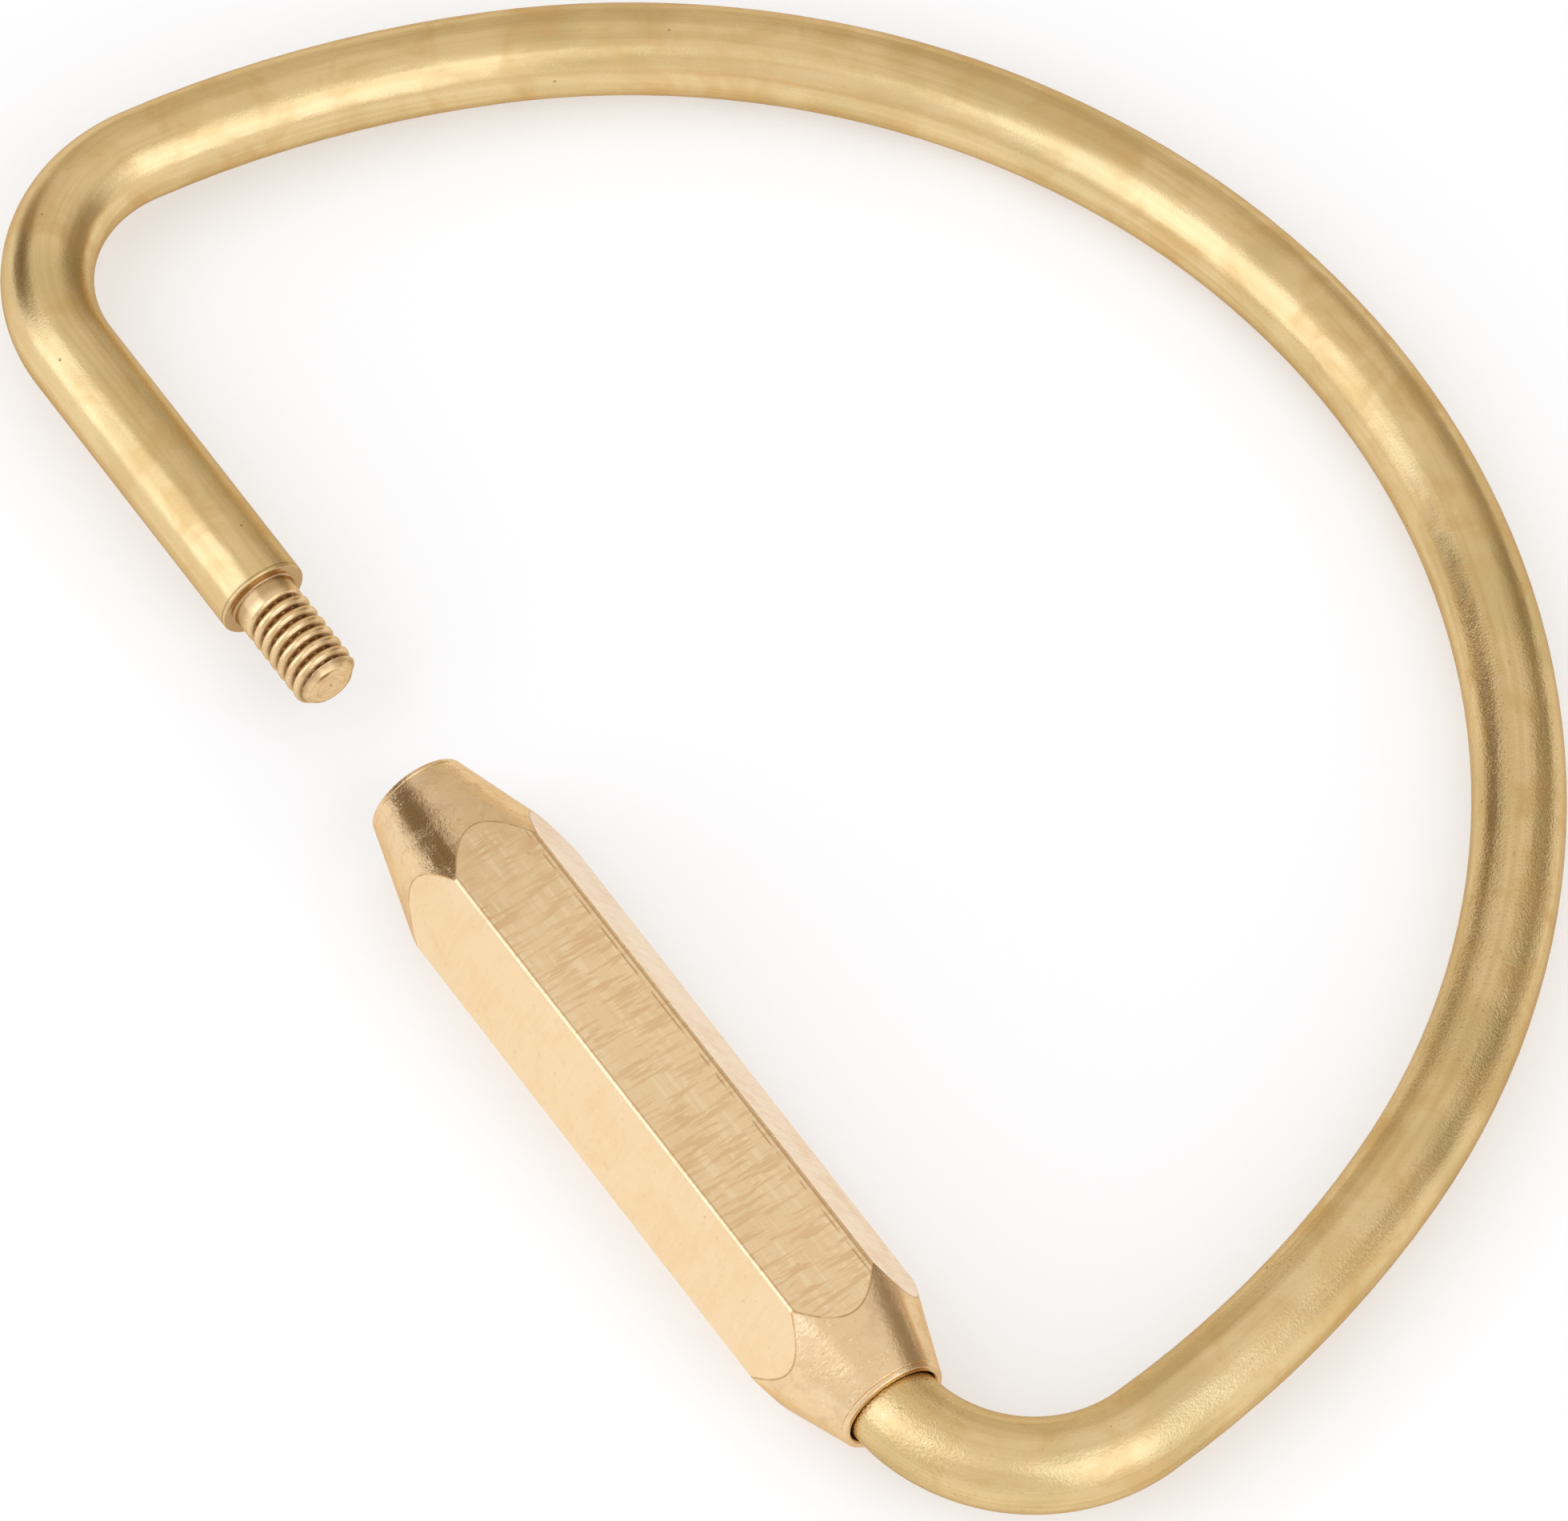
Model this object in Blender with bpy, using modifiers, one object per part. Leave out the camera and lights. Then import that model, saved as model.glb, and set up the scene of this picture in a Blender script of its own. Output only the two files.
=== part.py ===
"""Screw-lock key ring: a brass rod bent to a D, and a hexagonal sleeve nut that closes it.

Two solid-brass pieces. The rod ends in a threaded stud. The sleeve slides on the rod's other
end, over the gap, and screws on the stud. The ring lies on a table: on one flat of the sleeve
and on the far side of the rod. Metres, +Z up. The sleeve's axis runs along X, and the origin
is under the middle of the ring.
"""

import math

import bmesh
import bpy
from mathutils import Matrix, Vector

MM = 0.001

# Rod
ROD_DIAMETER = 4.0 * MM
ROD_END_CHAMFER = 0.15 * MM

# Outline of the ring, along the middle of the rod
STRAIGHT_SIDE = 61.0 * MM
BEND_RADIUS = 7.2 * MM
BEND_ANGLE = math.radians(95.5)
FLANK_RADIUS = 50.0 * MM
FLANK_ANGLE = math.radians(18.5)

# Threaded stud, turned on the end of the rod
STUD_DIAMETER = 2.94 * MM
STUD_LENGTH = 5.2 * MM
STUD_ROOT = 1.2 * MM  # how far the stud's own solid reaches back inside the rod
NECK_LENGTH = 1.0 * MM
TIP_CHAMFER = 0.5 * MM
THREAD_PITCH = 0.6 * MM
THREAD_DEPTH = 0.26 * MM
BEND_TO_SHOULDER = 14.7 * MM  # straight rod between the first bend and the stud's shoulder

# Sleeve nut
HEX_ACROSS_FLATS = 7.0 * MM
SLEEVE_LENGTH = 35.2 * MM
TAPPED_END_WALL = 0.7 * MM  # round the tapped hole, where the taper ends
TAPPED_CONE_LENGTH = 4.25 * MM  # measured to the top of the scallop on a flat
OPEN_END_WALL = 0.3 * MM  # round the plain bore, where the taper ends
OPEN_CONE_LENGTH = 3.0 * MM
SLEEVE_EDGE = 0.12 * MM
TAPPED_DEPTH = 6.1 * MM
DRILL_POINT = math.radians(59.0)

# Fits
BORE_CLEARANCE = 0.1 * MM  # radial, round the rod
THREAD_CLEARANCE = 0.08 * MM  # radial, round the stud's crests
LIP_PAST_BEND = 0.6 * MM  # the open end stops this far round the start of the second bend
ROD_END_CLEARANCE = 0.5 * MM  # between the rod's hidden end and the bottom of the bore

ROD_SIDES = 20
ROUND_STEPS = 48
THREAD_STEPS = 24
BEND_STEPS = 12
FLANK_STEPS = 4
CROWN_STEPS = 24

ROD_RADIUS = ROD_DIAMETER / 2
STUD_RADIUS = STUD_DIAMETER / 2
HEX_CORNER_RADIUS = HEX_ACROSS_FLATS / math.sqrt(3)
BORE_RADIUS = ROD_RADIUS + BORE_CLEARANCE
TAPPED_RADIUS = STUD_RADIUS + THREAD_CLEARANCE
TAPPED_END_DIAMETER = 2 * (TAPPED_RADIUS + TAPPED_END_WALL)
OPEN_END_DIAMETER = 2 * (BORE_RADIUS + OPEN_END_WALL)

# Places along the sleeve's axis
FIRST_BEND_X = -STRAIGHT_SIDE / 2
SECOND_BEND_X = STRAIGHT_SIDE / 2
SHOULDER_X = FIRST_BEND_X + BEND_TO_SHOULDER
SLEEVE_OPEN_X = SECOND_BEND_X + LIP_PAST_BEND
SLEEVE_TAPPED_X = SLEEVE_OPEN_X - SLEEVE_LENGTH
DRILL_POINT_LENGTH = (BORE_RADIUS - TAPPED_RADIUS) / math.tan(DRILL_POINT)
BORE_BOTTOM_X = SLEEVE_TAPPED_X + TAPPED_DEPTH + DRILL_POINT_LENGTH
ROD_HIDDEN_END_X = BORE_BOTTOM_X + ROD_END_CLEARANCE

ALONG_X = Matrix.Rotation(math.pi / 2, 4, "Y")  # turns +Z to +X


def arc(start, heading, radius, angle, steps):
    """Points of a clockwise arc after its start point, and the heading at its end."""
    x, y = start
    points = []
    for step in range(1, steps + 1):
        turned = heading - angle * step / steps
        points.append(
            (
                x + radius * (math.sin(heading) - math.sin(turned)),
                y + radius * (math.cos(turned) - math.cos(heading)),
            )
        )
    return points, heading - angle


def ring_outline():
    """The rod's middle line in the plane of the ring, from the shoulder to the hidden end."""
    bend, heading = arc((FIRST_BEND_X, 0.0), math.pi, BEND_RADIUS, BEND_ANGLE, BEND_STEPS)
    flank, heading = arc(bend[-1], heading, FLANK_RADIUS, FLANK_ANGLE, FLANK_STEPS)
    crown_radius = -flank[-1][0] / math.sin(heading)
    crown, _ = arc(flank[-1], heading, crown_radius, heading, CROWN_STEPS // 2)
    half = [(FIRST_BEND_X, 0.0)] + bend + flank + crown
    other_half = [(-x, y) for x, y in reversed(half[:-1])]
    return [(SHOULDER_X, 0.0)] + half + other_half + [(ROD_HIDDEN_END_X, 0.0)]


RING_DEPTH = max(y for x, y in ring_outline())
RING_TILT = math.asin((HEX_ACROSS_FLATS / 2 - ROD_RADIUS) / RING_DEPTH)
FAR_SIDE = RING_DEPTH * math.cos(RING_TILT) + ROD_RADIUS
AXIS_Y = (HEX_CORNER_RADIUS - FAR_SIDE) / 2
AXIS_Z = HEX_ACROSS_FLATS / 2


def clear_scene():
    for obj in list(bpy.data.objects):
        bpy.data.objects.remove(obj, do_unlink=True)


def new_collection(name):
    collection = bpy.data.collections.new(name)
    bpy.context.scene.collection.children.link(collection)
    return collection


def brass(name, colour, roughness):
    material = bpy.data.materials.new(name)
    material.use_nodes = True
    shader = material.node_tree.nodes["Principled BSDF"]
    shader.inputs["Base Color"].default_value = (*colour, 1.0)
    shader.inputs["Metallic"].default_value = 1.0
    shader.inputs["Roughness"].default_value = roughness
    return material


def mesh_object(name, bm, collection):
    mesh = bpy.data.meshes.new(name)
    bm.to_mesh(mesh)
    bm.free()
    obj = bpy.data.objects.new(name, mesh)
    collection.objects.link(obj)
    return obj


def as_cutter(obj):
    obj.hide_render = True
    obj.display_type = "WIRE"
    return obj


def turned(name, profile, collection):
    """A solid of revolution about X, from (x, radius) points that run from low to high x."""
    bm = bmesh.new()
    verts = [bm.verts.new((x, radius, 0.0)) for x, radius in profile]
    edges = [bm.edges.new(pair) for pair in zip(verts, verts[1:])]
    bmesh.ops.spin(
        bm,
        geom=verts + edges,
        cent=(0, 0, 0),
        axis=(1, 0, 0),
        angle=2 * math.pi,
        steps=ROUND_STEPS,
        use_merge=True,
    )
    bmesh.ops.remove_doubles(bm, verts=bm.verts, dist=1e-7)
    bmesh.ops.recalc_face_normals(bm, faces=bm.faces)
    return mesh_object(name, bm, collection)


def boolean(obj, operation, other):
    modifier = obj.modifiers.new(other.name, "BOOLEAN")
    modifier.operation = operation
    modifier.solver = "EXACT"
    modifier.object = other


def smooth(obj, degrees=40):
    obj.data.shade_smooth()
    obj.data.set_sharp_from_angle(angle=math.radians(degrees))


def bent_rod(collection, material):
    """The rod as a round tube along the outline, made a mesh so that the stud can join it."""
    curve = bpy.data.curves.new("rod_line", "CURVE")
    curve.dimensions = "3D"
    curve.twist_mode = "Z_UP"
    curve.bevel_depth = ROD_RADIUS
    curve.bevel_resolution = ROD_SIDES // 2 - 2
    curve.use_fill_caps = True
    outline = ring_outline()
    spline = curve.splines.new("POLY")
    spline.points.add(len(outline) - 1)
    for point, (x, y) in zip(spline.points, outline):
        point.co = (x, y, 0.0, 1.0)
    line = bpy.data.objects.new("rod_line", curve)
    collection.objects.link(line)
    bpy.context.view_layer.update()
    graph = bpy.context.evaluated_depsgraph_get()
    mesh = bpy.data.meshes.new_from_object(line.evaluated_get(graph))
    bpy.data.objects.remove(line, do_unlink=True)
    bm = bmesh.new()
    bm.from_mesh(mesh)
    bmesh.ops.remove_doubles(bm, verts=bm.verts, dist=1e-7)
    bmesh.ops.recalc_face_normals(bm, faces=bm.faces)
    bm.to_mesh(mesh)
    bm.free()
    rod = bpy.data.objects.new("ring_rod", mesh)
    mesh.materials.clear()
    mesh.materials.append(material)
    collection.objects.link(rod)
    chamfer = rod.modifiers.new("end_chamfers", "BEVEL")
    chamfer.width = ROD_END_CHAMFER
    chamfer.segments = 1
    chamfer.limit_method = "ANGLE"
    chamfer.angle_limit = math.radians(60)
    return rod


def stud_blank(collection):
    """The stud before its thread is cut: a cylinder from inside the rod to a chamfered tip."""
    tip_x = SHOULDER_X + STUD_LENGTH
    profile = [
        (SHOULDER_X - STUD_ROOT, 0.0),
        (SHOULDER_X - STUD_ROOT, STUD_RADIUS),
        (tip_x - TIP_CHAMFER, STUD_RADIUS),
        (tip_x, STUD_RADIUS - TIP_CHAMFER),
        (tip_x, 0.0),
    ]
    return as_cutter(turned("stud_blank", profile, collection))


def thread_groove(collection):
    """A right-hand helical groove with a flat root, from the neck out past the tip."""
    root_radius = STUD_RADIUS - THREAD_DEPTH
    over = THREAD_DEPTH / 2
    root_half = THREAD_PITCH / 16
    mouth_half = root_half + (THREAD_DEPTH + over) * math.tan(math.radians(30))
    start_x = SHOULDER_X + NECK_LENGTH + THREAD_PITCH / 3
    turns = math.ceil((STUD_LENGTH - NECK_LENGTH) / THREAD_PITCH) + 1
    section = [
        (start_x - mouth_half, STUD_RADIUS + over),
        (start_x - root_half, root_radius),
        (start_x + root_half, root_radius),
        (start_x + mouth_half, STUD_RADIUS + over),
    ]
    bm = bmesh.new()
    face = bm.faces.new([bm.verts.new((x, radius, 0.0)) for x, radius in section])
    bmesh.ops.spin(
        bm,
        geom=[face] + list(face.edges) + list(face.verts),
        cent=(0, 0, 0),
        axis=(1, 0, 0),
        dvec=(THREAD_PITCH / THREAD_STEPS, 0, 0),
        angle=2 * math.pi * turns,
        steps=THREAD_STEPS * turns,
    )
    bmesh.ops.recalc_face_normals(bm, faces=bm.faces)
    return as_cutter(mesh_object("thread_groove", bm, collection))


def ring_rod(parts, cutters, material):
    """The bent rod with its stud: one piece of brass."""
    rod = bent_rod(parts, material)
    stud = stud_blank(cutters)
    boolean(stud, "DIFFERENCE", thread_groove(cutters))
    boolean(rod, "UNION", stud)
    smooth(rod)
    return rod


def sleeve_envelope(collection):
    """The turned outside that gives the hexagon its two tapered ends."""
    flat_radius = HEX_ACROSS_FLATS / 2
    clear_radius = HEX_CORNER_RADIUS * 1.1
    tapped_radius = TAPPED_END_DIAMETER / 2
    open_radius = OPEN_END_DIAMETER / 2
    tapped_slope = (flat_radius - tapped_radius) / TAPPED_CONE_LENGTH
    open_slope = (flat_radius - open_radius) / OPEN_CONE_LENGTH
    profile = [
        (SLEEVE_TAPPED_X, 0.0),
        (SLEEVE_TAPPED_X, tapped_radius - SLEEVE_EDGE),
        (SLEEVE_TAPPED_X + SLEEVE_EDGE, tapped_radius + tapped_slope * SLEEVE_EDGE),
        (SLEEVE_TAPPED_X + (clear_radius - tapped_radius) / tapped_slope, clear_radius),
        (SLEEVE_OPEN_X - (clear_radius - open_radius) / open_slope, clear_radius),
        (SLEEVE_OPEN_X - SLEEVE_EDGE, open_radius + open_slope * SLEEVE_EDGE),
        (SLEEVE_OPEN_X, open_radius - SLEEVE_EDGE),
        (SLEEVE_OPEN_X, 0.0),
    ]
    return as_cutter(turned("sleeve_envelope", profile, collection))


def sleeve_bore(collection):
    """The tapped hole for the stud, its drill point, and the plain bore for the rod."""
    past = 0.5 * MM
    profile = [
        (SLEEVE_TAPPED_X - past, 0.0),
        (SLEEVE_TAPPED_X - past, TAPPED_RADIUS + SLEEVE_EDGE),
        (SLEEVE_TAPPED_X, TAPPED_RADIUS + SLEEVE_EDGE),
        (SLEEVE_TAPPED_X + SLEEVE_EDGE, TAPPED_RADIUS),
        (SLEEVE_TAPPED_X + TAPPED_DEPTH, TAPPED_RADIUS),
        (BORE_BOTTOM_X, BORE_RADIUS),
        (SLEEVE_OPEN_X + past, BORE_RADIUS),
        (SLEEVE_OPEN_X + past, 0.0),
    ]
    return as_cutter(turned("sleeve_bore", profile, collection))


def hex_sleeve(parts, cutters, material):
    """The sleeve nut, from hexagon bar with one flat down and one up."""
    bm = bmesh.new()
    bmesh.ops.create_cone(
        bm,
        cap_ends=True,
        segments=6,
        radius1=HEX_CORNER_RADIUS,
        radius2=HEX_CORNER_RADIUS,
        depth=SLEEVE_LENGTH + 2 * MM,
    )
    middle = Vector(((SLEEVE_TAPPED_X + SLEEVE_OPEN_X) / 2, 0, 0))
    bmesh.ops.transform(bm, matrix=Matrix.Translation(middle) @ ALONG_X, verts=bm.verts)
    sleeve = mesh_object("hex_sleeve", bm, parts)
    sleeve.data.materials.append(material)
    boolean(sleeve, "INTERSECT", sleeve_envelope(cutters))
    boolean(sleeve, "DIFFERENCE", sleeve_bore(cutters))
    smooth(sleeve, 30)
    return sleeve


def build():
    clear_scene()
    parts = new_collection("screw_lock_key_ring")
    cutters = new_collection("cutters")
    drawn_brass = brass("drawn_brass", (0.58, 0.38, 0.13), 0.32)
    turned_brass = brass("turned_brass", (0.72, 0.51, 0.27), 0.26)

    axis = bpy.data.objects.new("sleeve_axis", None)
    axis.location = (0.0, AXIS_Y, AXIS_Z)
    ring_plane = bpy.data.objects.new("ring_plane", None)
    ring_plane.rotation_euler = (-RING_TILT, 0.0, 0.0)
    ring_plane.parent = axis
    for empty in (axis, ring_plane):
        parts.objects.link(empty)

    ring_rod(parts, cutters, drawn_brass).parent = ring_plane
    hex_sleeve(parts, cutters, turned_brass).parent = axis
    for cutter in cutters.objects:
        on_sleeve = cutter.name.startswith("sleeve")
        cutter.parent = axis if on_sleeve else ring_plane


build()
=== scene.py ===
import math

import bmesh
import bpy
from mathutils import Euler, Matrix, Vector


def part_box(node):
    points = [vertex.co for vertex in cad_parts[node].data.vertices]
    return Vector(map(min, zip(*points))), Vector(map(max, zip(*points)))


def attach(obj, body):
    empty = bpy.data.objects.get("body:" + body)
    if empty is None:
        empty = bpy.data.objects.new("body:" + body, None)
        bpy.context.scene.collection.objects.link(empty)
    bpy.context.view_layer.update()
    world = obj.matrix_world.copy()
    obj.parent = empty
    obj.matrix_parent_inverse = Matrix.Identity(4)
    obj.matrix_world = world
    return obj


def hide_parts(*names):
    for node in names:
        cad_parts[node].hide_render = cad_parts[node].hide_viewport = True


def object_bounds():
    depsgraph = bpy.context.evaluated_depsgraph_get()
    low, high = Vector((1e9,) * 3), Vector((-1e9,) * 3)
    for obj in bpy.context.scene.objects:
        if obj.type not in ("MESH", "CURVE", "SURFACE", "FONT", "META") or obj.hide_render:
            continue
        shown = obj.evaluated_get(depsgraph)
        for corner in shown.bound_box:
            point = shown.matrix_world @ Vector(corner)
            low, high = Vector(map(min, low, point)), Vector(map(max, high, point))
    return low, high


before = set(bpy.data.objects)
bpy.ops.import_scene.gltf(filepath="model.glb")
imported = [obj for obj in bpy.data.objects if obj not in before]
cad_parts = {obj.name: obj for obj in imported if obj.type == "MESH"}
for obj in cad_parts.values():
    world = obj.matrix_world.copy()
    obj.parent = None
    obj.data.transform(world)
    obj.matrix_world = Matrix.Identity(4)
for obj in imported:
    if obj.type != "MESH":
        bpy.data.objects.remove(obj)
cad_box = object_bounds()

MM = 0.001
ALONG_X = Matrix.Rotation(math.pi / 2, 4, "Y")  # turns +Z to +X

# Rod
ROD_RADIUS = 2.0 * MM
STRAIGHT_SIDE = 61.0 * MM
BEND_RADIUS = 7.2 * MM
BEND_ANGLE = math.radians(95.5)
FLANK_RADIUS = 50.0 * MM
FLANK_ANGLE = math.radians(18.5)
BEND_TO_SHOULDER = 14.7 * MM
RIM_ROUND = 0.11 * MM

# Threaded stud
STUD_RADIUS = 1.47 * MM
STUD_LENGTH = 5.2 * MM
NECK_LENGTH = 0.85 * MM
NECK_FILLET = 0.09 * MM
TIP_CHAMFER = 0.5 * MM
TIP_ROUND = 0.06 * MM
FACING_PIP = 0.11 * MM  # what the facing tool leaves in the middle of the tip
THREAD_PITCH = 0.6 * MM
THREAD_DEPTH = 0.26 * MM
THREAD_START = 0.56  # share of a turn
GROOVE_HALF_WIDTH = 0.4  # share of the pitch
GROOVE_SHAPE = 1.3  # above 1, the groove's flanks ease into its crests
STUD_RUN_OUT = 0.2 * MM

# Sleeve nut
HEX_ACROSS_FLATS = 7.0 * MM
HEX_EDGE = 0.085 * MM
TRIM_EDGE = 0.045 * MM
TAPPED_END_RADIUS = 2.25 * MM
TAPPED_CONE_LENGTH = 4.25 * MM
OPEN_END_RADIUS = 2.4 * MM
OPEN_CONE_LENGTH = 3.0 * MM
LIP_ROUND = 0.1 * MM
LIP_GROOVE = 0.035 * MM
MOUTH_ROUND = 0.06 * MM
TAPPED_RADIUS = 1.55 * MM
TAPPED_THREAD_DEPTH = 0.18 * MM
TAPPED_DEPTH = 6.1 * MM
BORE_RADIUS = 2.1 * MM
DRILL_POINT = math.radians(59.0)
ROD_END_CLEARANCE = 0.5 * MM

# Spare stock, cut away or lost inside the hole
BAR_SPARE = 2 * MM
CUTTER_CORE = 0.5 * MM
CUTTER_OVERRUN = 0.4 * MM

ROUND_STEPS = 96
SLEEVE_STEPS = 192
BEND_STEP = math.radians(2.0)
THREAD_LOOP = THREAD_PITCH / 16
ROD_CREASE = 35  # degrees, past which an edge is drawn sharp
SLEEVE_CREASE = 12
FLOOR_GAP = 0.02 * MM

# Lines along the top flat, measured from its middle
BROKEN_BURR_Y = 1.68 * MM
WHOLE_BURR_Y = 1.9 * MM
SEAM_Y = -1.9 * MM

# Slots of the sleeve's finishes
FLAT, TAPER, HOLE, TRIM = range(4)

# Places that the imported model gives
SLEEVE_LOW, SLEEVE_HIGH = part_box("hex_sleeve")
AXIS_Y = (SLEEVE_LOW.y + SLEEVE_HIGH.y) / 2
AXIS_Z = (SLEEVE_LOW.z + SLEEVE_HIGH.z) / 2
TAPPED_X = SLEEVE_LOW.x
OPEN_X = SLEEVE_HIGH.x
SHOULDER_X = BEND_TO_SHOULDER - STRAIGHT_SIDE / 2
BORE_BOTTOM_X = TAPPED_X + TAPPED_DEPTH + (BORE_RADIUS - TAPPED_RADIUS) / math.tan(DRILL_POINT)
HIDDEN_END_X = BORE_BOTTOM_X + ROD_END_CLEARANCE
ON_AXIS = Matrix.Translation((0, AXIS_Y, AXIS_Z))


# ---------------------------------------------------------------- shapes


def turned_bar(profile, steps):
    """A round solid along X, drawn out loop by loop through (x, radius) pairs."""
    bm = bmesh.new()
    x, radius = profile[0]
    start = Matrix.Translation((x, 0, 0)) @ ALONG_X
    bmesh.ops.create_circle(bm, cap_ends=True, segments=steps, radius=radius, matrix=start)
    loop = list(bm.edges)
    for next_x, next_radius in profile[1:]:
        made = bmesh.ops.extrude_edge_only(bm, edges=loop)["geom"]
        verts = {item for item in made if isinstance(item, bmesh.types.BMVert)}
        loop = [e for e in made if isinstance(e, bmesh.types.BMEdge) and verts.issuperset(e.verts)]
        grow = next_radius / radius
        bmesh.ops.scale(bm, vec=(1, grow, grow), verts=list(verts))
        bmesh.ops.translate(bm, vec=(next_x - x, 0, 0), verts=list(verts))
        x, radius = next_x, next_radius
    bmesh.ops.holes_fill(bm, edges=loop)
    bmesh.ops.recalc_face_normals(bm, faces=bm.faces)
    return bm


def quarter_round(x, radius, size, start, turn, steps=4):
    """(x, radius) pairs on a quarter circle round a corner's centre."""
    angles = [math.radians(start + turn * step / steps) for step in range(steps + 1)]
    return [(x + size * math.cos(a), radius + size * math.sin(a)) for a in angles]


def cut_thread(bm, first_x, last_x, crest, depth, run_out):
    """Presses a right-hand groove with rounded crests into a bar, fading out at last_x."""
    for vert in bm.verts:
        x, y, z = vert.co
        radius = math.hypot(y, z)
        if not first_x < x < last_x or radius < crest / 2:
            continue
        turn = x / THREAD_PITCH - math.atan2(z, y) / (2 * math.pi) + THREAD_START
        groove = max(0.0, 1 - abs(turn % 1 - 0.5) / GROOVE_HALF_WIDTH) ** GROOVE_SHAPE
        fade = min(1.0, (last_x - x) / run_out)
        threaded = crest - depth * groove * fade * fade * (3 - 2 * fade)
        shrink = min(1.0, threaded / radius)
        vert.co = (x, y * shrink, z * shrink)


def walk(x, y, heading, length, radius):
    """The end of a straight run, or of a clockwise arc where there is a radius."""
    if radius is None:
        return x + length * math.cos(heading), y + length * math.sin(heading), heading
    turned = heading - length / radius
    x += radius * (math.sin(heading) - math.sin(turned))
    y += radius * (math.cos(turned) - math.cos(heading))
    return x, y, turned


BEND = (BEND_RADIUS * BEND_ANGLE, BEND_RADIUS)
FLANK = (FLANK_RADIUS * FLANK_ANGLE, FLANK_RADIUS)
BEND_END = walk(-STRAIGHT_SIDE / 2, 0.0, math.pi, *BEND)
FLANK_END = walk(*BEND_END, *FLANK)
CROWN_RADIUS = -FLANK_END[0] / math.sin(FLANK_END[2])
CROWN = (CROWN_RADIUS * 2 * FLANK_END[2], CROWN_RADIUS)
RING_DEPTH = walk(*FLANK_END, CROWN[0] / 2, CROWN_RADIUS)[1]
RING_TILT = math.asin((HEX_ACROSS_FLATS / 2 - ROD_RADIUS) / RING_DEPTH)
OUTLINE = [
    (BEND_TO_SHOULDER, None),
    BEND,
    FLANK,
    CROWN,
    FLANK,
    BEND,
    (STRAIGHT_SIDE / 2 - HIDDEN_END_X, None),
]


def on_outline(distance):
    """Place and heading on the rod's middle line, this far round from the shoulder."""
    place = (SHOULDER_X, 0.0, math.pi)
    for length, radius in OUTLINE:
        if distance <= length:
            break
        place = walk(*place, length, radius)
        distance -= length
    return walk(*place, distance, radius)


def bend_to_ring(bm):
    """Bends the straight rod round the outline. Its straight places are kept for the finish."""
    straight = bm.verts.layers.float_vector.new("straight_rod")
    for vert in bm.verts:
        vert[straight] = vert.co
        x, y, heading = on_outline(vert.co.x)
        across = Vector((-math.sin(heading), math.cos(heading), 0)) * vert.co.y
        vert.co = Vector((x, y, vert.co.z)) + across


def rod_profile():
    """(x, radius) pairs of the straight rod, from the stud's tip. The shoulder is at x = 0."""
    tip = -STUD_LENGTH
    nose = STUD_RADIUS - TIP_CHAMFER
    points = [(tip, FACING_PIP / 2), (tip + FACING_PIP / 3, FACING_PIP)]
    points += [(tip + 0.02 * MM, nose * 0.4), (tip + 0.04 * MM, nose - TIP_ROUND)]
    points += quarter_round(tip + 0.1 * MM, nose - TIP_ROUND, TIP_ROUND, 170, -40)
    x = points[-1][0] + THREAD_LOOP / 2
    while x < -NECK_LENGTH:
        points.append((x, min(STUD_RADIUS, nose + x - tip)))
        x += THREAD_LOOP
    points += quarter_round(-NECK_FILLET, STUD_RADIUS + NECK_FILLET, NECK_FILLET, -90, 85)
    points.append((0.0, STUD_RADIUS + NECK_FILLET * 1.3))
    points += quarter_round(RIM_ROUND, ROD_RADIUS - RIM_ROUND, RIM_ROUND, 175, -85)
    done = 0.0
    for length, radius in OUTLINE:
        loops = 6 if radius is None else math.ceil(length / radius / BEND_STEP)
        points += [(done + length * n / loops, ROD_RADIUS) for n in range(1, loops + 1)]
        done += length
    end = points.pop()[0]
    points += quarter_round(end - RIM_ROUND, ROD_RADIUS - RIM_ROUND, RIM_ROUND, 90, -90)
    return points


def ring_piece():
    """The bent rod with its threaded stud."""
    bm = turned_bar(rod_profile(), ROUND_STEPS)
    thread_end = -NECK_LENGTH + 0.05 * MM
    thread_start = 0.15 * MM - STUD_LENGTH
    cut_thread(bm, thread_start, thread_end, STUD_RADIUS, THREAD_DEPTH, STUD_RUN_OUT)
    for face in bm.faces:
        face.material_index = int(face.calc_center_median().x < RIM_ROUND / 3)
    bend_to_ring(bm)
    lay_down = Matrix.Rotation(-RING_TILT, 4, "X")
    bmesh.ops.transform(bm, matrix=ON_AXIS @ lay_down, verts=bm.verts)
    bmesh.ops.recalc_face_normals(bm, faces=bm.faces)
    return piece("ring", bm, ROD_CREASE)


def lip(x, radius, slope, outward):
    """(x, radius) pairs of a taper's end, from its groove to its flat face. Outward is 1 or -1."""
    groove_x = x - outward * (LIP_ROUND * 2 + LIP_GROOVE)
    grooved = radius + slope * abs(groove_x - x)
    rounding = quarter_round(0.0, 0.0, LIP_ROUND, 70, -70)
    points = [
        (groove_x - outward * LIP_GROOVE, grooved + slope * LIP_GROOVE),
        (groove_x, grooved - LIP_GROOVE),
        (groove_x + outward * LIP_GROOVE, grooved - slope * LIP_GROOVE),
    ]
    top = radius - LIP_ROUND * (1 - slope)
    points += [(x - outward * (LIP_ROUND - along), top + up) for along, up in rounding]
    return points


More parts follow.
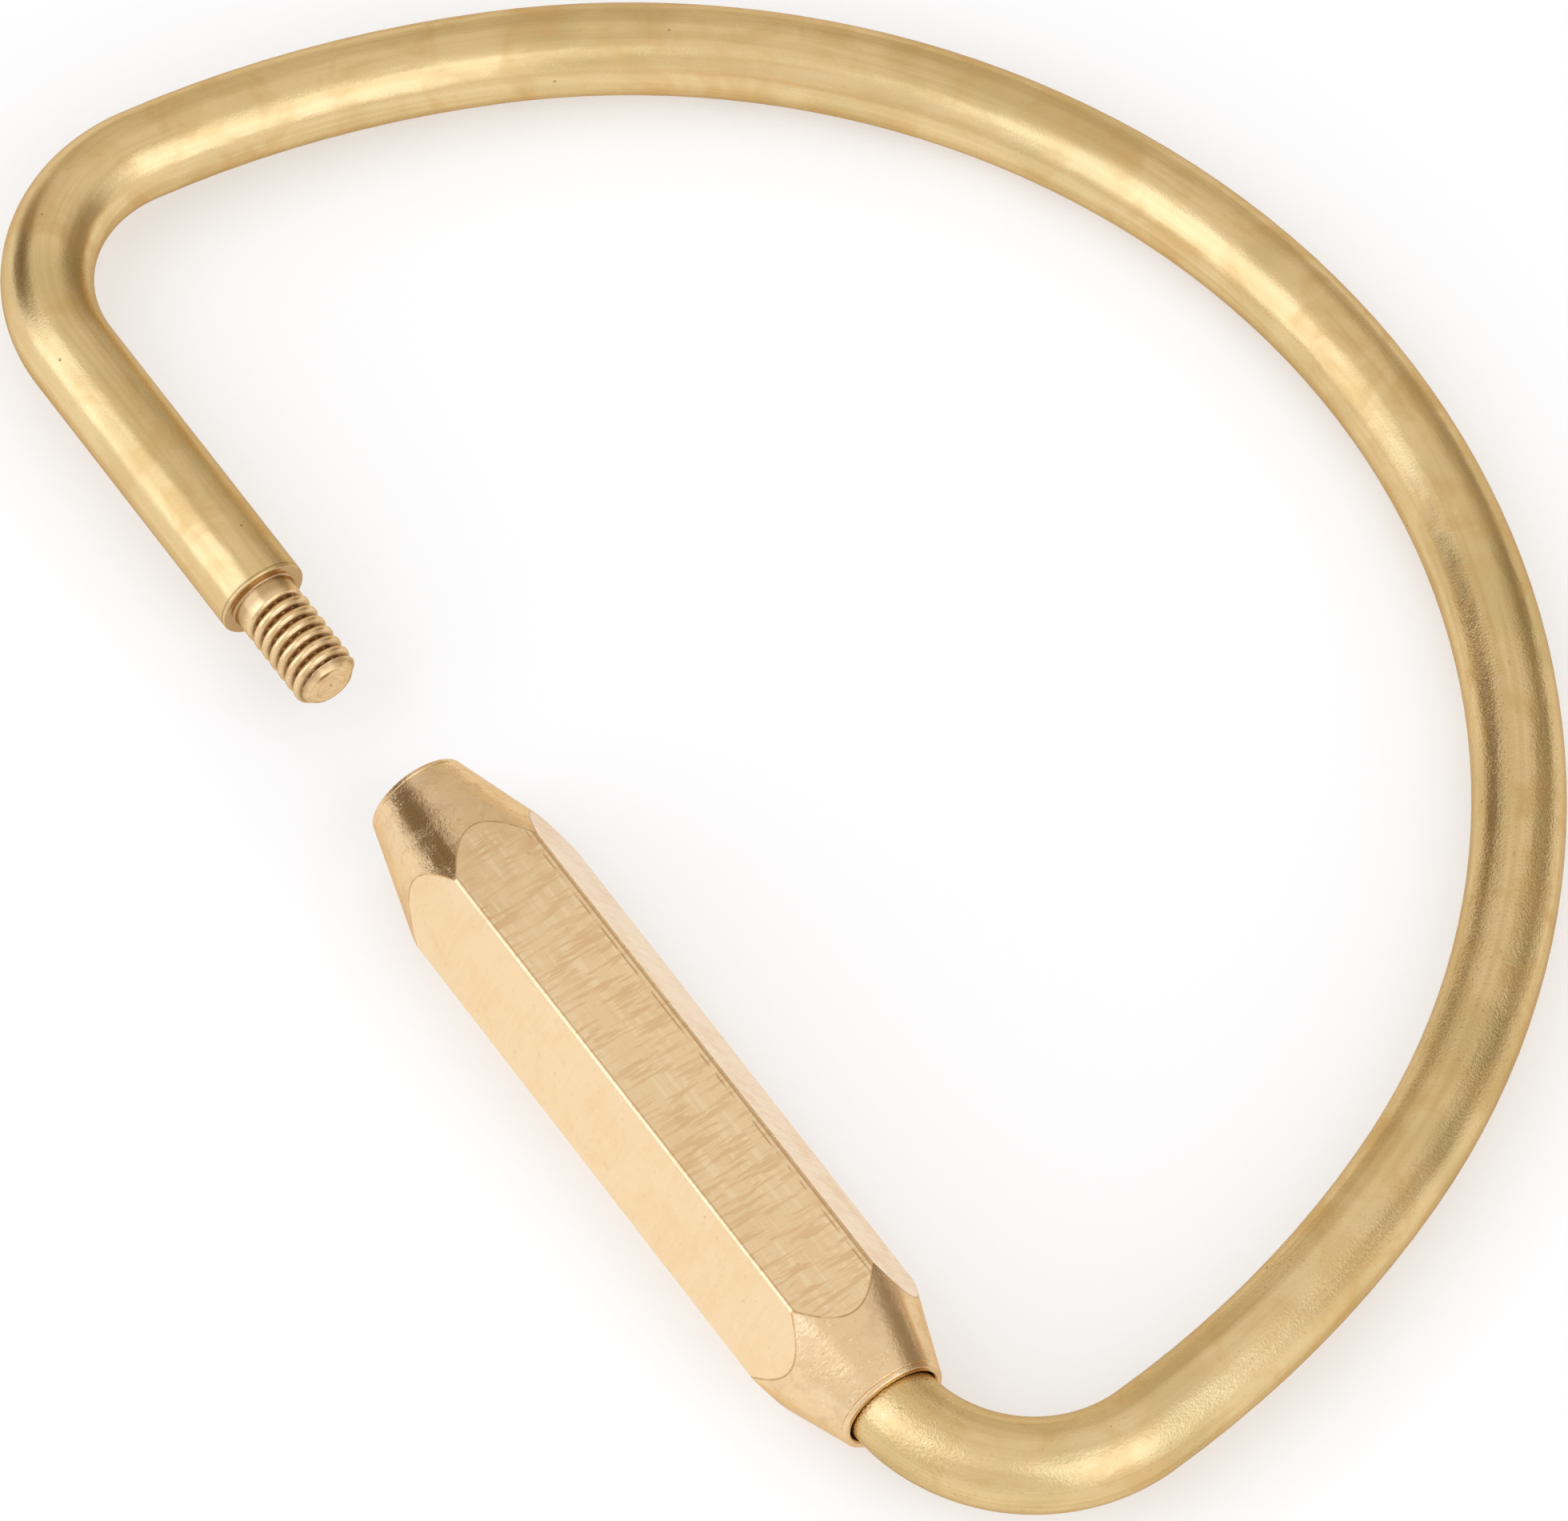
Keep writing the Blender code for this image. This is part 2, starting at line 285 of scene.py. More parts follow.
def sleeve_outside():
    """The two turned tapers, with their grooved lips, that the hexagon is trimmed to."""
    flat = HEX_ACROSS_FLATS / 2
    clear = flat * 1.25
    tapped_slope = (flat - TAPPED_END_RADIUS) / TAPPED_CONE_LENGTH
    open_slope = (flat - OPEN_END_RADIUS) / OPEN_CONE_LENGTH
    profile = [(TAPPED_X, CUTTER_CORE)]
    profile += reversed(lip(TAPPED_X, TAPPED_END_RADIUS, tapped_slope, -1))
    profile.append((TAPPED_X + (clear - TAPPED_END_RADIUS) / tapped_slope, clear))
    profile.append((OPEN_X - (clear - OPEN_END_RADIUS) / open_slope, clear))
    profile += lip(OPEN_X, OPEN_END_RADIUS, open_slope, 1)
    profile.append((OPEN_X, CUTTER_CORE))
    return turned_bar(profile, SLEEVE_STEPS)


def sleeve_inside():
    """The hole right through: tapped for the stud, then a drill point and the rod's bore."""
    tapped_root = TAPPED_RADIUS + TAPPED_THREAD_DEPTH
    profile = [(TAPPED_X - CUTTER_OVERRUN, tapped_root + MOUTH_ROUND)]
    profile.append((TAPPED_X, tapped_root + MOUTH_ROUND))
    loops = round(TAPPED_DEPTH / (THREAD_LOOP * 2))
    for loop in range(1, loops):
        profile.append((TAPPED_X + TAPPED_DEPTH * loop / loops, tapped_root))
    profile.append((TAPPED_X + TAPPED_DEPTH, TAPPED_RADIUS))
    profile.append((BORE_BOTTOM_X, BORE_RADIUS))
    profile += [(OPEN_X - MOUTH_ROUND, BORE_RADIUS), (OPEN_X, BORE_RADIUS + MOUTH_ROUND)]
    profile.append((OPEN_X + CUTTER_OVERRUN, BORE_RADIUS + MOUTH_ROUND))
    bm = turned_bar(profile, ROUND_STEPS)
    thread_end = TAPPED_X + TAPPED_DEPTH - THREAD_PITCH
    cut_thread(bm, TAPPED_X, thread_end, tapped_root, TAPPED_THREAD_DEPTH, THREAD_PITCH)
    return bm


def trimmed(body, operation, bm):
    """The body's mesh after a Boolean with the shape in bm."""
    cutter = mesh_object("cutter", bm)
    modifier = body.modifiers.new("trim", "BOOLEAN")
    modifier.operation = operation
    modifier.solver = "EXACT"
    modifier.object = cutter
    bpy.context.view_layer.update()
    graph = bpy.context.evaluated_depsgraph_get()
    mesh = bpy.data.meshes.new_from_object(body.evaluated_get(graph))
    body.modifiers.clear()
    body.data = mesh
    bpy.data.objects.remove(cutter, do_unlink=True)


def hex_bar():
    """Hexagon bar along X, longer than the sleeve, with rounded long edges."""
    length = OPEN_X - TAPPED_X + BAR_SPARE
    corner = HEX_ACROSS_FLATS / math.sqrt(3)
    bm = bmesh.new()
    bmesh.ops.create_cone(
        bm, cap_ends=True, segments=6, radius1=corner, radius2=corner, depth=length
    )
    long_edges = [e for e in bm.edges if abs(e.verts[0].co.z - e.verts[1].co.z) > length / 2]
    bmesh.ops.bevel(
        bm,
        geom=long_edges,
        offset=HEX_EDGE,
        offset_type="OFFSET",
        segments=6,
        profile=0.5,
        affect="EDGES",
        material=-1,
    )
    middle = Matrix.Translation(((TAPPED_X + OPEN_X) / 2, 0, 0))
    bmesh.ops.transform(bm, matrix=middle @ ALONG_X, verts=bm.verts)
    return bm


def mark_finishes(bm):
    """Tells the sleeve's flats, tapers and hole apart by which way their faces point."""
    for face in bm.faces:
        middle = face.calc_center_median()
        outward = Vector((0, middle.y, middle.z)).dot(face.normal)
        if abs(face.normal.x) < 0.05 and outward > 0:
            face.material_index = FLAT
        elif outward > 0 or abs(face.normal.x) > 0.7:
            face.material_index = TAPER
        else:
            face.material_index = HOLE


def break_trimmed_edges(bm):
    """A fine bevel where a flat meets a taper."""
    trimmed_edges = [
        e for e in bm.edges if sorted(f.material_index for f in e.link_faces) == [FLAT, TAPER]
    ]
    made = bmesh.ops.bevel(
        bm,
        geom=trimmed_edges,
        offset=TRIM_EDGE,
        offset_type="OFFSET",
        segments=2,
        profile=0.5,
        affect="EDGES",
        material=-1,
        clamp_overlap=True,
    )
    for face in made["faces"]:
        face.material_index = TRIM


def mark_chatter(bm):
    """How strongly the cutter has marked each face: the top flat most, then the underside.

    The two flats that face into the ring come next, and the outer two are nearly smooth.
    """
    chatter = bm.faces.layers.float.new("chatter")
    for face in bm.faces:
        top = max(0.0, face.normal.z - 0.5) * 2
        bottom = max(0.0, -face.normal.z - 0.3)
        behind = 0.6 if face.normal.y > 0.5 else 0.0
        face[chatter] = max(top, bottom, behind, 0.12)


def sleeve_piece():
    """The hexagonal nut: bar with rounded long edges, tapered at both ends and bored."""
    nut = mesh_object("nut", hex_bar())
    trimmed(nut, "INTERSECT", sleeve_outside())
    trimmed(nut, "DIFFERENCE", sleeve_inside())
    bm = bmesh.new()
    bm.from_mesh(nut.data)
    bpy.data.objects.remove(nut, do_unlink=True)
    bmesh.ops.remove_doubles(bm, verts=bm.verts, dist=1e-7)
    mark_finishes(bm)
    break_trimmed_edges(bm)
    mark_chatter(bm)
    bmesh.ops.transform(bm, matrix=ON_AXIS, verts=bm.verts)
    sleeve = piece("sleeve", bm, SLEEVE_CREASE)
    even = sleeve.modifiers.new("even_shading", "WEIGHTED_NORMAL")
    even.keep_sharp = True
    return sleeve


def mesh_object(name, bm):
    """A new object in the scene with the shape in bm."""
    mesh = bpy.data.meshes.new(name)
    bm.to_mesh(mesh)
    bm.free()
    obj = bpy.data.objects.new(name, mesh)
    bpy.context.scene.collection.objects.link(obj)
    return obj


def piece(name, bm, crease):
    """A finished piece, shaded smooth but for edges sharper than the crease, in degrees."""
    obj = mesh_object(name, bm)
    obj.data.shade_smooth()
    obj.data.set_sharp_from_angle(angle=math.radians(crease))
    return obj


# ---------------------------------------------------------------- finishes

# Colours: linear red, green and blue, and opacity

# The rod
YELLOW_BRASS = (0.79, 0.592, 0.302, 1)
DULL_YELLOW = (0.66, 0.49, 0.228, 1)
TARNISHED_YELLOW = (0.69, 0.44, 0.175, 1)
DIE_LINE = (0.52, 0.35, 0.13, 1)
BURNISHED_BAND = (0.94, 0.75, 0.43, 1)
ROD_SPECK = (0.46, 0.29, 0.11, 1)
PIT_BROWN = (0.3, 0.18, 0.08, 1)
# painted shade: a thin dark line on the rod just behind its rounded rim
PAINTED_RIM_SHADE = (0.36, 0.22, 0.09, 1)

# The stud
FRESH_CUT = (0.86, 0.625, 0.355, 1)
TARNISHED_CUT = (0.76, 0.51, 0.265, 1)
TOOL_RING = (0.55, 0.35, 0.16, 1)
# painted shade on the neck and the shoulder face
NECK_SHADE = (0.55, 0.37, 0.19, 1)
# painted shade in the thread's grooves
THREAD_GROOVE_SHADE = (0.27, 0.15, 0.06, 1)
# painted shade in the corner under the rod's rim
CORNER_SHADE = (0.45, 0.28, 0.14, 1)
STUD_SPECK = (0.42, 0.26, 0.12, 1)

# The sleeve's flats
PALE_BRASS = (0.91, 0.685, 0.42, 1)
TARNISHED_PALE = (0.88, 0.63, 0.345, 1)
RUBBED_BROWN = (0.69, 0.475, 0.26, 1)
CHATTER_VALLEY = (0.73, 0.46, 0.245, 1)
CHATTER_CREST = (1.0, 0.80, 0.54, 1)
BURR_BROWN = (0.46, 0.28, 0.12, 1)
SEAM_BROWN = (0.50, 0.31, 0.14, 1)
FLAT_SPECK = (0.5, 0.33, 0.16, 1)

# The sleeve's tapers, hole and trim
TURNED_BRASS = (0.87, 0.64, 0.375, 1)
MOTTLED_TURNED = (0.86, 0.645, 0.42, 1)
TARNISHED_TURNED = (0.76, 0.535, 0.31, 1)
TAPER_SPECK = (0.5, 0.34, 0.17, 1)
GLINT = (1.0, 0.85, 0.62, 1)
BORED_BROWN = (0.62, 0.40, 0.18, 1)
BORE_DIRT = (0.34, 0.20, 0.08, 1)
TRIM_BROWN = (0.60, 0.38, 0.18, 1)
TRIM_BRASS = (0.78, 0.53, 0.29, 1)

# The studio
STUDIO_WALL = (0.86, 0.83, 0.79, 1)
WALL_BEHIND = (0.71, 0.66, 0.59, 1)
FAR_GAP = (0.33, 0.275, 0.205, 1)
NEAR_GAP = (0.19, 0.13, 0.075, 1)
FLOOR_GREY = (0.68, 0.68, 0.68, 1)

# How a finish's edges dim and warm at a grazing angle
ROD_EDGE_TINT = (0.70, 0.58, 0.46)
STUD_EDGE_TINT = (0.78, 0.66, 0.50)
TAPER_EDGE_TINT = (0.86, 0.72, 0.52)


class Nodes:
    """Puts nodes in a tree and joins them in one call each."""

    def __init__(self, tree):
        self.tree = tree

    def join(self, value, socket):
        if isinstance(value, bpy.types.NodeSocket):
            self.tree.links.new(value, socket)
        elif value is not None:
            socket.default_value = value

    def put(self, kind, inputs=(), **settings):
        node = self.tree.nodes.new(kind)
        for name, value in settings.items():
            setattr(node, name, value)
        for key, value in dict(inputs).items():
            self.join(value, node.inputs[key])
        return node

    def math(self, operation, a, b=0.0, clamp=False):
        made = self.put("ShaderNodeMath", {0: a, 1: b}, operation=operation, use_clamp=clamp)
        return made.outputs[0]

    def vector(self, operation, a, b):
        made = self.put("ShaderNodeVectorMath", {0: a, 1: b}, operation=operation)
        return made.outputs["Value" if operation in ("DOT_PRODUCT", "LENGTH") else "Vector"]

    def ramp(self, value, low, high, to_low=0.0, to_high=1.0):
        """Maps low..high smoothly to to_low..to_high."""
        inputs = {"Value": value, 1: low, 2: high, 3: to_low, 4: to_high}
        made = self.put("ShaderNodeMapRange", inputs, interpolation_type="SMOOTHSTEP")
        return made.outputs["Result"]

    def noise(self, place, scale, detail=2.0, roughness=0.5, distortion=0.0):
        inputs = {
            "Vector": place,
            "Scale": scale,
            "Detail": detail,
            "Roughness": roughness,
            "Distortion": distortion,
        }
        return self.put("ShaderNodeTexNoise", inputs).outputs["Fac"]

    def mix(self, factor, a, b):
        made = self.put("ShaderNodeMix", data_type="RGBA")
        self.join(factor, made.inputs["Factor"])
        self.join(a, made.inputs[6])
        self.join(b, made.inputs[7])
        return made.outputs[2]

    def group(self, tree, inputs):
        node = self.put("ShaderNodeGroup", node_tree=tree)
        for key, value in inputs.items():
            self.join(value, node.inputs[key])
        return node.outputs


def effect(name, inputs, outputs):
    """An empty node group, with its builder, its input sockets and its output node."""
    tree = bpy.data.node_groups.new(name, "ShaderNodeTree")
    for label, kind in inputs:
        tree.interface.new_socket(name=label, in_out="INPUT", socket_type=kind)
    for label in outputs:
        tree.interface.new_socket(name=label, in_out="OUTPUT", socket_type="NodeSocketFloat")
    nodes = Nodes(tree)
    source = nodes.put("NodeGroupInput").outputs
    sink = nodes.put("NodeGroupOutput")
    return tree, nodes, source, sink


VECTOR, NUMBER = "NodeSocketVector", "NodeSocketFloat"


def tool_lines_effect():
    """Fine lines left by a die or a lathe tool, long one way and close-set the other."""
    tree, nodes, source, sink = effect(
        "tool_lines", [("Place", VECTOR), ("Per Metre", VECTOR)], ["Lines", "Bands"]
    )
    stretched = nodes.vector("MULTIPLY", source["Place"], source["Per Metre"])
    nodes.join(nodes.noise(stretched, 1.0, 2.0, 0.6), sink.inputs["Lines"])
    nodes.join(nodes.noise(stretched, 0.3, 1.0, 0.4), sink.inputs["Bands"])
    return tree


def wear_effect():
    """Handling and air on bare brass: soft tarnish patches, specks, pits and grain."""
    tree, nodes, source, sink = effect(
        "handled_brass",
        [("Place", VECTOR), ("Patch Size", NUMBER), ("Grain Size", NUMBER)],
        ["Tarnish", "Dull", "Specks", "Pits", "Grain"],
    )
    patches = nodes.math("DIVIDE", 1.0, source["Patch Size"])
    grains = nodes.math("DIVIDE", 1.0, source["Grain Size"])
    soft = nodes.noise(source["Place"], patches, 3.0, 0.6, 0.6)
    nodes.join(nodes.ramp(soft, 0.44, 0.68), sink.inputs["Tarnish"])
    wide = nodes.noise(source["Place"], nodes.math("MULTIPLY", patches, 0.45), 2.0, 0.6)
    nodes.join(nodes.ramp(wide, 0.45, 0.62), sink.inputs["Dull"])
    speckle = nodes.noise(source["Place"], nodes.math("MULTIPLY", grains, 0.6), 2.0, 0.6)
    nodes.join(nodes.ramp(speckle, 0.60, 0.72), sink.inputs["Specks"])
    cells = nodes.put(
        "ShaderNodeTexVoronoi",
        {"Vector": source["Place"], "Scale": nodes.math("MULTIPLY", grains, 0.1)},
    )
    chosen = nodes.put("ShaderNodeSeparateColor", {0: cells.outputs["Color"]}).outputs[0]
    pit = nodes.math(
        "MULTIPLY",
        nodes.ramp(cells.outputs["Distance"], 0.03, 0.075, 1.0, 0.0),
        nodes.ramp(chosen, 0.72, 0.76),
    )
    nodes.join(pit, sink.inputs["Pits"])
    nodes.join(nodes.noise(source["Place"], grains, 2.0, 0.7), sink.inputs["Grain"])
    return tree


def brass(name, roughness_low, roughness_high, edge_tint=(1.0, 1.0, 1.0)):
    """A new brass material: its node builder, and the function that finishes it."""
    material = bpy.data.materials.new(name)
    material.use_nodes = True
    shader = material.node_tree.nodes["Principled BSDF"]
    shader.inputs["Metallic"].default_value = 1.0
    shader.inputs["Specular Tint"].default_value = (*edge_tint, 1.0)
    nodes = Nodes(material.node_tree)

    def finish(colour, rough_mask, height, relief):
        nodes.join(colour, shader.inputs["Base Color"])
        roughness = nodes.ramp(rough_mask, 0.0, 1.0, roughness_low, roughness_high)
        nodes.join(roughness, shader.inputs["Roughness"])
        bump = nodes.put("ShaderNodeBump", {"Height": height, "Distance": relief})
        nodes.join(bump.outputs["Normal"], shader.inputs["Normal"])
        return material

    return nodes, finish


def straight_place(nodes):
    """The place along and across the rod before it was bent."""
    return nodes.put("ShaderNodeAttribute", attribute_name="straight_rod").outputs["Vector"]


def sleeve_place(nodes):
    """The place along and across the sleeve, measured from its axis."""
    place = nodes.put("ShaderNodeTexCoord").outputs["Object"]
    mapping = {"Vector": place, "Location": (0.0, -AXIS_Y, -AXIS_Z)}
    return nodes.put("ShaderNodeMapping", mapping).outputs["Vector"]


def split(nodes, place):
    return nodes.put("ShaderNodeSeparateXYZ", {0: place}).outputs


def summed(nodes, parts):
    """Adds (value, weight) pairs into one height."""
    total = None
    for value, weight in parts:
        scaled = nodes.math("MULTIPLY", value, weight)
        total = scaled if total is None else nodes.math("ADD", total, scaled)
    return total


def stained_and_shaded(nodes, colour, overlays):
    """Lays (mask, strength, colour) layers of tarnish, wear, marks and painted shade on a colour,
    one over the other.
    """
    for mask, strength, overlay in overlays:
        colour = nodes.mix(nodes.math("MULTIPLY", mask, strength), colour, overlay)
    return colour


def thin_line(nodes, value, middle, half_width):
    """1 where a value is within half_width of the middle, fading out as far again."""
    off = nodes.math("ABSOLUTE", nodes.math("SUBTRACT", value, middle))
    return nodes.ramp(off, half_width * 2, half_width)


def drawn_brass(tool_lines, wear):
    """Satin yellow brass, drawn lengthwise through a die, a little lumpy, then handled."""
    nodes, finish = brass("drawn_brass", 0.25, 0.40, ROD_EDGE_TINT)
    place = straight_place(nodes)
    lines = nodes.group(tool_lines, {"Place": place, "Per Metre": (80.0, 2600.0, 2600.0)})
    worn = nodes.group(
        wear, {"Place": place, "Patch Size": 2.4 * MM, "Grain Size": 0.13 * MM}
    )
    squeezed = nodes.vector("MULTIPLY", place, (0.38, 1.0, 1.0))
    lumps = nodes.noise(squeezed, 1 / (1.3 * MM), 2.0, 0.55)
    along = split(nodes, place)["X"]
    gripped = nodes.ramp(along, 78 * MM, 122 * MM, 0.22, 1.0)
    uneven = nodes.ramp(nodes.noise(place, 1 / (9 * MM), 1.0), 0.38, 0.56, 0.4, 1.0)
    rubbed = nodes.math("MULTIPLY", gripped, uneven)
    sparkle = nodes.math("MULTIPLY", worn["Grain"], rubbed)
    # A thin line just behind the rim, painted dark as shade. The bump also dents a fine groove
    # along it.
    rim = thin_line(nodes, along, 0.17 * MM, 0.03 * MM)
    colour = stained_and_shaded(
        nodes,
        YELLOW_BRASS,
        [
            (worn["Dull"], 0.7, DULL_YELLOW),
            (worn["Tarnish"], 0.6, TARNISHED_YELLOW),
            (nodes.ramp(lines["Lines"], 0.42, 0.66), 0.26, DIE_LINE),
            (nodes.ramp(lines["Bands"], 0.5, 0.62), 0.24, BURNISHED_BAND),
            (nodes.math("MULTIPLY", worn["Specks"], rubbed), 0.45, ROD_SPECK),
            (worn["Pits"], 0.65, PIT_BROWN),
            (rim, 0.6, PAINTED_RIM_SHADE),
        ],
    )
    rough = nodes.math("MULTIPLY", worn["Tarnish"], 0.35)
    rough = nodes.math("ADD", rough, nodes.math("MULTIPLY", worn["Grain"], 0.45), clamp=True)
    height = summed(
        nodes,
        [
            (lumps, 1.7),
            (lines["Lines"], 0.1),
            (lines["Bands"], 0.25),
            (sparkle, 1.1),
            (worn["Pits"], -0.3),
            (rim, -0.4),
        ],
    )
    return finish(colour, rough, height, 0.03 * MM)


def turned_stud(tool_lines, wear):
    """Freshly cut brass with tool rings. The thread's grooves, the corner under the rod's rim and
    the neck are painted darker, as shade.
    """
    nodes, finish = brass("turned_stud", 0.22, 0.42, STUD_EDGE_TINT)
    place = straight_place(nodes)
    lines = nodes.group(tool_lines, {"Place": place, "Per Metre": (9000.0, 500.0, 500.0)})
    worn = nodes.group(
        wear, {"Place": place, "Patch Size": 0.6 * MM, "Grain Size": 0.09 * MM}
    )
    along = split(nodes, place)["X"]
    across = nodes.vector("MULTIPLY", place, (0.0, 1.0, 1.0))
    radius = nodes.vector("LENGTH", across, None)
    rings = nodes.put(
        "ShaderNodeTexNoise", {"W": radius, "Scale": 8000.0, "Detail": 2.0}, noise_dimensions="1D"
    ).outputs["Fac"]
    before_neck = nodes.ramp(along, -NECK_LENGTH, -NECK_LENGTH - 0.2 * MM)
    after_tip = nodes.ramp(along, 0.1 * MM - STUD_LENGTH, 0.5 * MM - STUD_LENGTH)
    # painted shade: the thread's grooves are painted darker the deeper they run
    deep = nodes.ramp(radius, STUD_RADIUS - 0.04 * MM, STUD_RADIUS - THREAD_DEPTH * 0.8)
    groove_shade = nodes.math("MULTIPLY", nodes.math("MULTIPLY", deep, before_neck), after_tip)
    # painted shade: the corner where the neck meets the shoulder, under the rod's rim
    corner = nodes.ramp(along, -0.16 * MM, -0.03 * MM)
    shade_under_rim = nodes.math("MULTIPLY", corner, nodes.ramp(radius, 1.75 * MM, STUD_RADIUS))
    colour = stained_and_shaded(
        nodes,
        FRESH_CUT,
        [
            (worn["Tarnish"], 0.8, TARNISHED_CUT),
            (nodes.ramp(rings, 0.5, 0.35), 0.35, TOOL_RING),
            # painted shade: darker from the middle of the neck up to and over the shoulder face
            (nodes.ramp(along, -NECK_LENGTH, -NECK_LENGTH / 2), 0.95, NECK_SHADE),
            # painted shade in the thread's grooves
            (groove_shade, 0.95, THREAD_GROOVE_SHADE),
            (shade_under_rim, 0.35, CORNER_SHADE),
            (worn["Specks"], 0.4, STUD_SPECK),
        ],
    )
    rough = nodes.math("MULTIPLY", worn["Tarnish"], 0.5)
    rough = nodes.math("ADD", rough, nodes.math("MULTIPLY", groove_shade, 0.5), clamp=True)
    height = summed(
        nodes, [(lines["Lines"], 0.35), (rings, 0.8), (worn["Grain"], 0.4), (worn["Pits"], -0.5)]
    )
    return finish(colour, rough, height, 0.012 * MM)


def milled_flat(tool_lines, wear):
    """The hexagon's flats: pale brass, smooth or with the cutter's chatter across them."""
    nodes, finish = brass("milled_flat", 0.2, 0.38)
    place = sleeve_place(nodes)
    parts = split(nodes, place)
    chatter = nodes.put("ShaderNodeAttribute", attribute_name="chatter").outputs["Fac"]
    wander = nodes.math("MULTIPLY", nodes.noise(place, 1200.0, 1.0), 0.12 * MM)
    wandered = nodes.put(
        "ShaderNodeCombineXYZ",
        {0: nodes.math("ADD", parts["X"], wander), 1: parts["Y"], 2: parts["Z"]},
    ).outputs["Vector"]
    stretched = nodes.vector("MULTIPLY", wandered, (4000.0, 520.0, 520.0))
    marks = nodes.noise(stretched, 1.0, 2.0, 0.65)
    lines = nodes.group(tool_lines, {"Place": place, "Per Metre": (150.0, 3600.0, 3600.0)})
    worn = nodes.group(
        wear, {"Place": place, "Patch Size": 2.2 * MM, "Grain Size": 0.14 * MM}
    )
    strong = nodes.ramp(nodes.noise(place, 420.0, 2.0, 0.6), 0.3, 0.55, 0.45, 1.0)
    woven = nodes.math("MULTIPLY", chatter, strong)
    crossed = nodes.math("MULTIPLY", marks, woven)
    columns = nodes.math("MULTIPLY", lines["Lines"], woven)

    valleys = nodes.math("MULTIPLY", nodes.ramp(marks, 0.52, 0.4), woven)
    combed = nodes.math("MULTIPLY", nodes.ramp(lines["Lines"], 0.48, 0.62), woven)
    dashed = nodes.math("MULTIPLY", combed, nodes.ramp(marks, 0.42, 0.56))
    near_tapped_end = nodes.ramp(parts["X"], TAPPED_X + 13 * MM, TAPPED_X + 3 * MM)
    rubbed = nodes.math("MULTIPLY", near_tapped_end, woven)

    on_top = nodes.ramp(chatter, 0.8, 0.95)
    broken = nodes.ramp(nodes.noise(place, 550.0, 3.0, 0.7), 0.42, 0.55)
    burr = nodes.math(
        "ADD",
        nodes.math("MULTIPLY", thin_line(nodes, parts["Y"], BROKEN_BURR_Y, 0.025 * MM), broken),
        thin_line(nodes, parts["Y"], WHOLE_BURR_Y, 0.035 * MM),
        clamp=True,
    )
    seam = thin_line(nodes, parts["Y"], SEAM_Y, 0.02 * MM)
    colour = stained_and_shaded(
        nodes,
        PALE_BRASS,
        [
            (worn["Tarnish"], 0.6, TARNISHED_PALE),
            (rubbed, 0.9, RUBBED_BROWN),
            (valleys, 0.5, CHATTER_VALLEY),
            (dashed, 0.5, CHATTER_CREST),
            (nodes.math("MULTIPLY", burr, on_top), 0.7, BURR_BROWN),
            (nodes.math("MULTIPLY", seam, on_top), 0.5, SEAM_BROWN),
            (worn["Specks"], 0.14, FLAT_SPECK),
            (worn["Pits"], 0.4, FLAT_SPECK),
        ],
    )
    rough = nodes.math("MULTIPLY", worn["Tarnish"], 0.35)
    rough = nodes.math("ADD", rough, nodes.math("MULTIPLY", chatter, 0.4), clamp=True)
    height = summed(
        nodes,
        [
            (crossed, 1.3),
            (columns, 0.5),
            (worn["Grain"], 0.08),
            (worn["Tarnish"], 0.2),
            (worn["Pits"], -0.3),
        ],
    )
    return finish(colour, rough, height, 0.016 * MM)


def turned_taper(tool_lines, wear):
    """The sleeve's tapered ends and lips: turned rings, rough sparkle and soft mottling."""
    nodes, finish = brass("turned_taper", 0.2, 0.38, TAPER_EDGE_TINT)
    place = sleeve_place(nodes)
    lines = nodes.group(tool_lines, {"Place": place, "Per Metre": (8000.0, 700.0, 700.0)})
    worn = nodes.group(
        wear, {"Place": place, "Patch Size": 0.9 * MM, "Grain Size": 0.17 * MM}
    )
    rougher_cut = nodes.ramp(split(nodes, place)["X"], OPEN_X - 8 * MM, TAPPED_X + 8 * MM, 0.45)
    broken = nodes.ramp(nodes.noise(place, 600.0, 2.0, 0.6), 0.42, 0.6, 0.35, 1.0)
    cut_grain = nodes.math("MULTIPLY", worn["Grain"], nodes.math("MULTIPLY", broken, rougher_cut))
    glints = nodes.ramp(nodes.noise(place, 5200.0, 1.0), 0.66, 0.72)
    colour = stained_and_shaded(
        nodes,
        TURNED_BRASS,
        [
            (worn["Dull"], 0.6, MOTTLED_TURNED),
            (worn["Tarnish"], 0.7, TARNISHED_TURNED),
            (worn["Specks"], 0.2, TAPER_SPECK),
            (glints, 0.35, GLINT),
        ],
    )
    height = summed(
        nodes,
        [
            (cut_grain, 2.1),
            (lines["Lines"], 0.3),
            (worn["Tarnish"], 0.25),
            (worn["Pits"], -0.5),
        ],
    )
    return finish(colour, nodes.math("MULTIPLY", worn["Tarnish"], 0.6), height, 0.012 * MM)


def bored_hole(tool_lines, wear):
    """The inside of the sleeve: duller, browner, with the drill's rings."""
    nodes, finish = brass("bored_hole", 0.35, 0.55)
    place = sleeve_place(nodes)
    lines = nodes.group(tool_lines, {"Place": place, "Per Metre": (9000.0, 400.0, 400.0)})
    worn = nodes.group(
        wear, {"Place": place, "Patch Size": 1.2 * MM, "Grain Size": 0.1 * MM}
    )
    colour = nodes.mix(worn["Tarnish"], BORED_BROWN, BORE_DIRT)
    height = summed(nodes, [(lines["Lines"], 1.0), (worn["Grain"], 0.3)])
    return finish(colour, worn["Tarnish"], height, 0.008 * MM)


